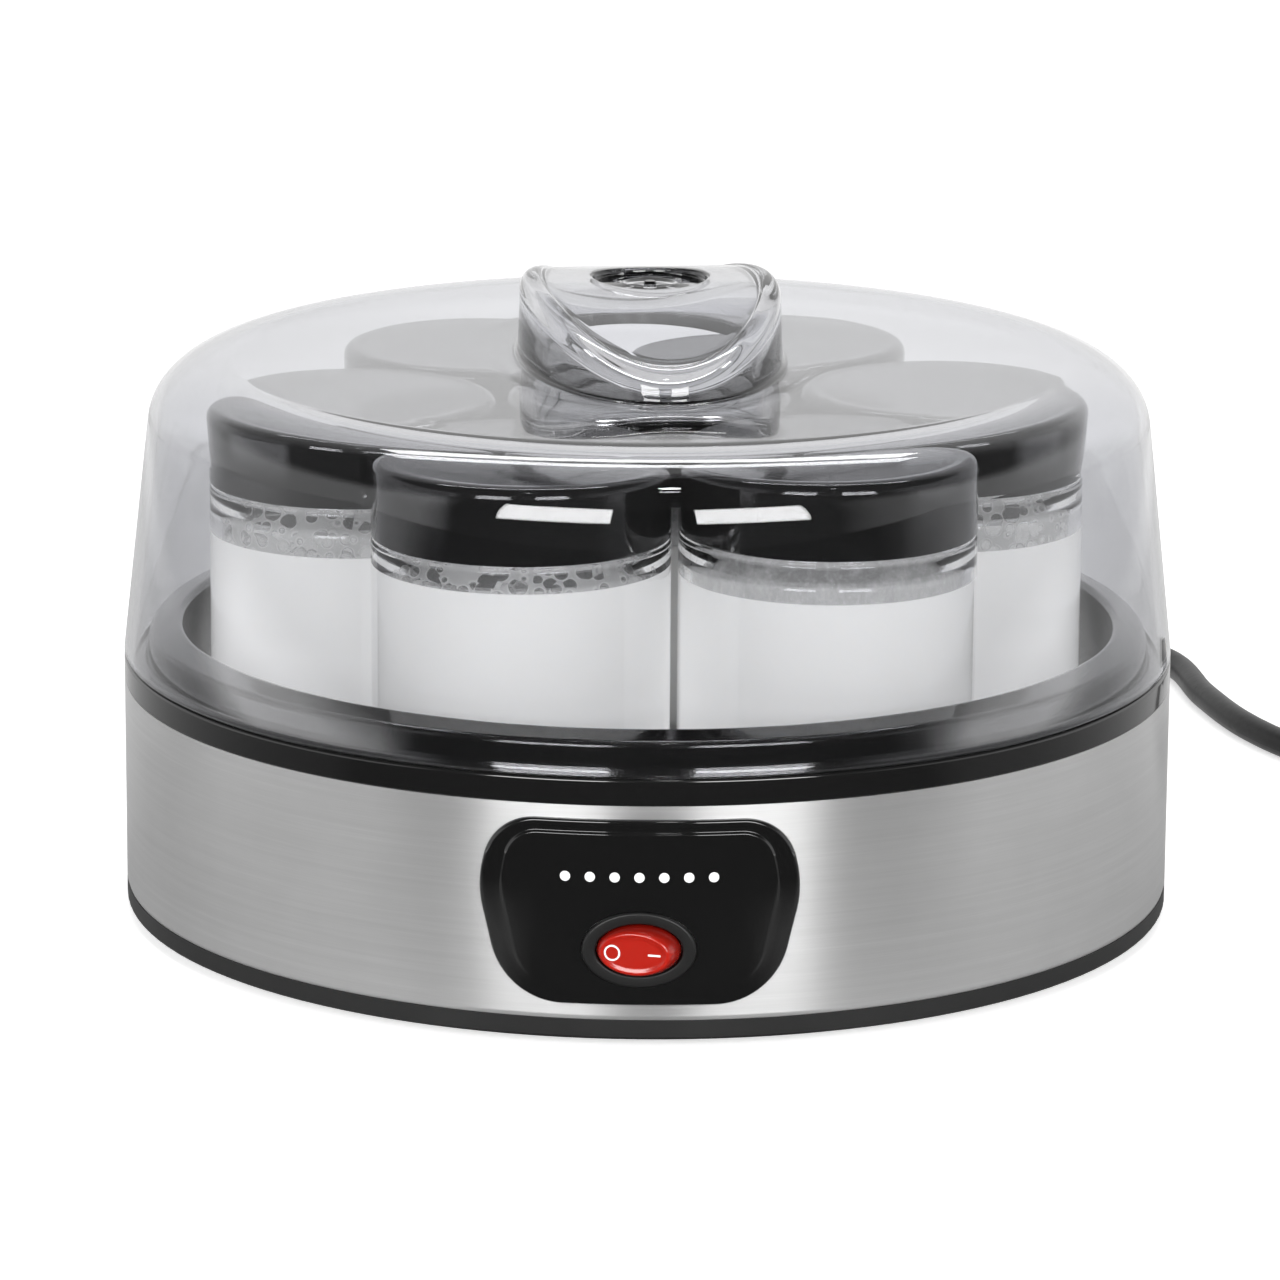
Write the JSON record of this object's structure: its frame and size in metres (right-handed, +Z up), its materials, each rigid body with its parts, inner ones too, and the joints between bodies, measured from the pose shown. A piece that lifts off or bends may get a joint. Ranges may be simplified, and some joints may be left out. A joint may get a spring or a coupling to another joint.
{
  "type": "yogurt maker",
  "caption": "Round electric yogurt maker: heated steel-banded base, clear domed lid with a moulded grip, glass jars with screw caps, front rocker switch and mains cord.",
  "frame": {"origin": "centre of the round base, on the plane that the feet stand on", "axes": "+Z up along the base's centre line; the control panel faces -Y; the cord leaves at +Y"},
  "size_m": [0.3497, 0.4058, 0.1492],
  "materials": {
    "brushed_band": "fine horizontal brushing",
    "black_gloss": "polished black moulding",
    "black_satin": "satin black moulding",
    "cap_black": "polished black moulding",
    "bakelite": "matt black moulding",
    "black_rubber": "matt rubber",
    "cord_black": "satin flexible sheath",
    "clear_lid": "clear polished plastic moulding",
    "jar_glass": "clear pressed glass",
    "milk": null,
    "red_clear": "translucent red with white marks",
    "lamp_glass": "small clear glass lamp",
    "aluminium": "rolled sheet",
    "zinc_steel": "zinc-plated steel",
    "brass": "brass, nickel plated on the plug's pins",
    "white_nylon": "natural nylon",
    "felt": "pressed mineral felt",
    "red_silicone": "silicone sheath",
    "wire_brown": "PVC insulation",
    "wire_blue": "PVC insulation",
    "wire_white": "glass-fibre sleeve"
  },
  "bodies": {
    "base": {"base_cover": "black_satin", "base_screws": "zinc_steel", "rubber_foot_ring": "black_rubber", "steel_band": "brushed_band", "jar_tray": "black_gloss", "heater_plate": "aluminium", "heating_cord": "red_silicone", "insulation_pad": "felt", "retainer_plate": "zinc_steel", "heater_screws": "zinc_steel", "thermostat": "bakelite", "thermostat_strap": "zinc_steel", "thermal_fuse": "aluminium", "fuse_clip": "zinc_steel", "control_panel": "black_gloss", "panel_screws": "zinc_steel", "switch_housing": "bakelite", "switch_terminals": "brass", "neon_lamp": "lamp_glass", "terminal_block": "white_nylon", "terminal_screws": "brass", "cord_grommet": "black_rubber", "cord_clamp": "bakelite", "clamp_screws": "zinc_steel", "power_cord": "cord_black", "plug_body": "cord_black", "plug_pins": "brass", "live_core": "wire_brown", "neutral_core": "wire_blue", "live_wire": "wire_brown", "switched_wire": "wire_brown", "fuse_wire": "wire_white", "heater_lead": "wire_white", "neutral_wire": "wire_blue"},
    "lid": {"lid": "clear_lid"},
    "rocker": {"rocker": "red_clear"},
    "jar_1": {"jar_1": "jar_glass", "yogurt_1": "milk"},
    "cap_1": {"jar_cap_1": "cap_black"},
    "jar_2": {"jar_2": "jar_glass", "yogurt_2": "milk"},
    "cap_2": {"jar_cap_2": "cap_black"},
    "jar_3": {"jar_3": "jar_glass", "yogurt_3": "milk"},
    "cap_3": {"jar_cap_3": "cap_black"},
    "jar_4": {"jar_4": "jar_glass", "yogurt_4": "milk"},
    "cap_4": {"jar_cap_4": "cap_black"},
    "jar_5": {"jar_5": "jar_glass", "yogurt_5": "milk"},
    "cap_5": {"jar_cap_5": "cap_black"},
    "jar_6": {"jar_6": "jar_glass", "yogurt_6": "milk"},
    "cap_6": {"jar_cap_6": "cap_black"},
    "jar_7": {"jar_7": "jar_glass", "yogurt_7": "milk"},
    "cap_7": {"jar_cap_7": "cap_black"}
  },
  "joints": [
    {"name": "lid_lift", "type": "slide", "parent": "base", "child": "lid", "axis": [0, 0, 1], "range_m": [0, 0.13]},
    {"name": "rocker_press", "type": "hinge", "parent": "base", "child": "rocker", "pos_m": [0, -0.1234, 0.0233], "axis": [0, 0, 1], "range_deg": [0, 24]},
    {"name": "jar_1_lift", "type": "slide", "parent": "base", "child": "jar_1", "axis": [0, 0, 1], "range_m": [0, 0.007]},
    {"name": "cap_1_twist", "type": "hinge", "parent": "jar_1", "child": "cap_1", "pos_m": [-0.0276, -0.06302, 0.11], "axis": [0, 0, 1], "range_deg": [0, 270]},
    {"name": "jar_2_lift", "type": "slide", "parent": "base", "child": "jar_2", "axis": [0, 0, 1], "range_m": [0, 0.007]},
    {"name": "cap_2_twist", "type": "hinge", "parent": "jar_2", "child": "cap_2", "pos_m": [0.04078, -0.05541, 0.11], "axis": [0, 0, 1], "range_deg": [0, 270]},
    {"name": "jar_3_lift", "type": "slide", "parent": "base", "child": "jar_3", "axis": [0, 0, 1], "range_m": [0, 0.007]},
    {"name": "cap_3_twist", "type": "hinge", "parent": "jar_3", "child": "cap_3", "pos_m": [0.06838, 0.00761, 0.11], "axis": [0, 0, 1], "range_deg": [0, 270]},
    {"name": "jar_4_lift", "type": "slide", "parent": "base", "child": "jar_4", "axis": [0, 0, 1], "range_m": [0, 0.007]},
    {"name": "cap_4_twist", "type": "hinge", "parent": "jar_4", "child": "cap_4", "pos_m": [0.0276, 0.06302, 0.11], "axis": [0, 0, 1], "range_deg": [0, 270]},
    {"name": "jar_5_lift", "type": "slide", "parent": "base", "child": "jar_5", "axis": [0, 0, 1], "range_m": [0, 0.007]},
    {"name": "cap_5_twist", "type": "hinge", "parent": "jar_5", "child": "cap_5", "pos_m": [-0.04078, 0.05541, 0.11], "axis": [0, 0, 1], "range_deg": [0, 270]},
    {"name": "jar_6_lift", "type": "slide", "parent": "base", "child": "jar_6", "axis": [0, 0, 1], "range_m": [0, 0.007]},
    {"name": "cap_6_twist", "type": "hinge", "parent": "jar_6", "child": "cap_6", "pos_m": [-0.06838, -0.00761, 0.11], "axis": [0, 0, 1], "range_deg": [0, 270]},
    {"name": "jar_7_lift", "type": "slide", "parent": "base", "child": "jar_7", "axis": [0, 0, 1], "range_m": [0, 0.007]},
    {"name": "cap_7_twist", "type": "hinge", "parent": "jar_7", "child": "cap_7", "pos_m": [0, 0, 0.11], "axis": [0, 0, 1], "range_deg": [0, 270]}
  ]
}
